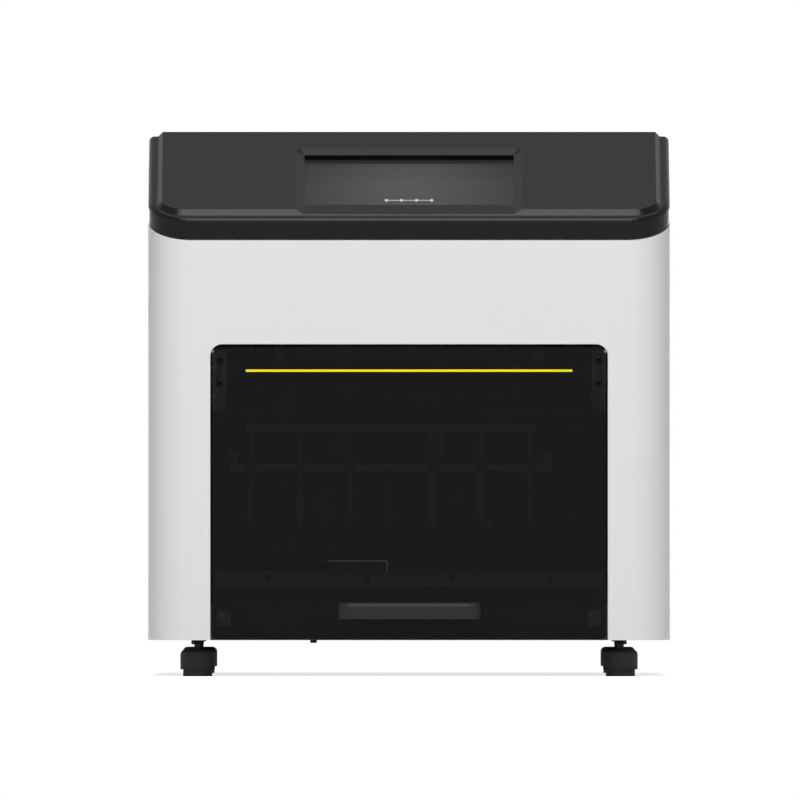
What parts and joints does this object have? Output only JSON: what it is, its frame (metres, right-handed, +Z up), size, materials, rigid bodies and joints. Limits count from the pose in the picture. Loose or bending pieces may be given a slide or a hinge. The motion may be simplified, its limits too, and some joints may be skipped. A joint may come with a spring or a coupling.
{
  "type": "nucleic acid extractor",
  "caption": "Bench-top nucleic acid extractor: magnetic-rod head and sleeve combs over a heated plate deck, behind a top-hinged tinted door, with a sloped display console.",
  "frame": {"origin": "on the bench, under the middle of the machine's box", "axes": "+X to the right seen from the front, +Y from the door to the rear panel, +Z up"},
  "size_m": [0.381, 0.44, 0.3984],
  "materials": {
    "housing": "fine satin powder coat, light grey",
    "base": "satin grey coat",
    "cap": "fine-textured moulded plastic, dark grey",
    "glass": "polished cover glass over the display",
    "door": "polished smoke-tinted acrylic",
    "stripe": "yellow filled line",
    "black_plastic": "moulded black plastic",
    "dark_metal": "black oxide",
    "aluminium": "bead-blasted and anodised",
    "chamber": "satin grey coat",
    "heater": "hard anodised",
    "steel": "ground and polished",
    "motor": "black coat",
    "sleeve": "translucent moulded polypropylene",
    "lamp": "frosted quartz tube",
    "white_plastic": "moulded white plastic",
    "rubber": "matt black rubber",
    "board": "solder-masked circuit board",
    "electronics": "display module case",
    "connector": "plated connector shells"
  },
  "bodies": {
    "housing": {"outer_housing": "housing", "base_plate": "base", "rear_panel": "housing", "top_cover": "cap", "display_glass": "glass", "display_module": "electronics", "frame_side_plates": "chamber", "bulkhead": "chamber", "chamber_ceiling": "chamber", "uv_lamp": "lamp", "lamp_holders": "white_plastic", "deck": "chamber", "heater_blocks": "heater", "plate_nest": "aluminium", "deck_front_bar": "aluminium", "deck_bar_screws": "dark_metal", "x_rails": "steel", "x_motor": "motor", "hinge_brackets": "dark_metal", "hinge_pins": "dark_metal", "door_magnets": "dark_metal", "door_bumpers": "rubber", "power_supply": "connector", "control_board": "board", "power_inlet": "black_plastic", "switch_frame": "black_plastic", "data_ports": "connector", "fan_frame": "black_plastic", "foot_nuts": "dark_metal", "underside_screw": "dark_metal"},
    "door": {"door_panel": "door", "door_stripe": "stripe", "door_handle": "black_plastic", "hinge_leaves": "dark_metal", "door_hinge_screws": "dark_metal", "door_catch_plates": "steel"},
    "carriage": {"x_carriage": "aluminium", "x_carriage_blocks": "steel", "z_rails": "steel", "z_motor": "motor"},
    "lift": {"lift_frame": "aluminium", "lift_blocks": "steel", "comb_holder": "aluminium", "sleeve_combs": "sleeve", "magnet_rails": "steel", "magnet_motor": "motor"},
    "magnet_head": {"magnet_carriage": "aluminium", "magnet_plate": "aluminium", "magnet_rods": "steel"},
    "x_lead_screw": {"x_screw": "steel"},
    "lift_lead_screw": {"z_screw": "steel"},
    "magnet_lead_screw": {"magnet_screw": "steel"},
    "left_thumbscrew": {"thumbscrew_left": "steel"},
    "right_thumbscrew": {"thumbscrew_right": "steel"},
    "power_rocker": {"rocker": "black_plastic"},
    "fan_impeller": {"fan_rotor": "black_plastic"},
    "foot_fl": {"foot_front_left": "rubber"},
    "foot_fr": {"foot_front_right": "rubber"},
    "foot_rl": {"foot_rear_left": "rubber"},
    "foot_rr": {"foot_rear_right": "rubber"}
  },
  "joints": [
    {"name": "door_hinge", "type": "hinge", "parent": "housing", "child": "door", "pos_m": [0, -0.1975, 0.2163], "axis": [-1, 0, 0], "range_deg": [0, 95]},
    {"name": "head_shift", "type": "slide", "parent": "housing", "child": "carriage", "axis": [1, 0, 0], "range_m": [0, 0.027]},
    {"name": "lift_down", "type": "slide", "parent": "carriage", "child": "lift", "axis": [0, 0, -1], "range_m": [0, 0.048]},
    {"name": "magnet_raise", "type": "slide", "parent": "lift", "child": "magnet_head", "axis": [0, 0, 1], "range_m": [-0.02, 0.02]},
    {"name": "x_screw_turn", "type": "hinge", "parent": "housing", "child": "x_lead_screw", "pos_m": [0, -0.02446, 0.226], "axis": [-1, 0, 0], "range_deg": [0, 1216]},
    {"name": "lift_screw_turn", "type": "hinge", "parent": "carriage", "child": "lift_lead_screw", "pos_m": [-0.0135, -0.04346, 0.2], "axis": [0, 0, 1], "range_deg": [0, 2161]},
    {"name": "magnet_screw_turn", "type": "hinge", "parent": "lift", "child": "magnet_lead_screw", "pos_m": [-0.0135, -0.06226, 0.21], "axis": [0, 0, -1], "range_deg": [-1801, 1801]},
    {"name": "left_thumbscrew_turn", "type": "hinge", "parent": "lift", "child": "left_thumbscrew", "pos_m": [-0.12825, -0.14596, 0.16], "axis": [0, 0, 1], "range_deg": [0, 1080]},
    {"name": "right_thumbscrew_turn", "type": "hinge", "parent": "lift", "child": "right_thumbscrew", "pos_m": [0.10125, -0.14596, 0.16], "axis": [0, 0, 1], "range_deg": [0, 1080]},
    {"name": "power_rocker_tilt", "type": "hinge", "parent": "housing", "child": "power_rocker", "pos_m": [-0.092, 0.2138, 0.0746], "axis": [1, 0, 0], "range_deg": [0, 20]},
    {"name": "fan_spin", "type": "hinge", "parent": "housing", "child": "fan_impeller", "pos_m": [0.095, 0.2045, 0.2796], "axis": [0, 1, 0], "continuous": true},
    {"name": "foot_fl_turn", "type": "hinge", "parent": "housing", "child": "foot_fl", "pos_m": [-0.1544, -0.161, 0.02], "axis": [0, 0, 1], "continuous": true},
    {"name": "foot_fr_turn", "type": "hinge", "parent": "housing", "child": "foot_fr", "pos_m": [0.1544, -0.161, 0.02], "axis": [0, 0, 1], "continuous": true},
    {"name": "foot_rl_turn", "type": "hinge", "parent": "housing", "child": "foot_rl", "pos_m": [-0.1544, 0.175, 0.02], "axis": [0, 0, 1], "continuous": true},
    {"name": "foot_rr_turn", "type": "hinge", "parent": "housing", "child": "foot_rr", "pos_m": [0.1544, 0.175, 0.02], "axis": [0, 0, 1], "continuous": true}
  ],
  "couplings": [
    {"joint": "x_screw_turn", "follows": "head_shift", "rad_per_m": 785.4},
    {"joint": "lift_screw_turn", "follows": "lift_down", "rad_per_m": 785.4},
    {"joint": "magnet_screw_turn", "follows": "magnet_raise", "rad_per_m": 1570.8}
  ]
}
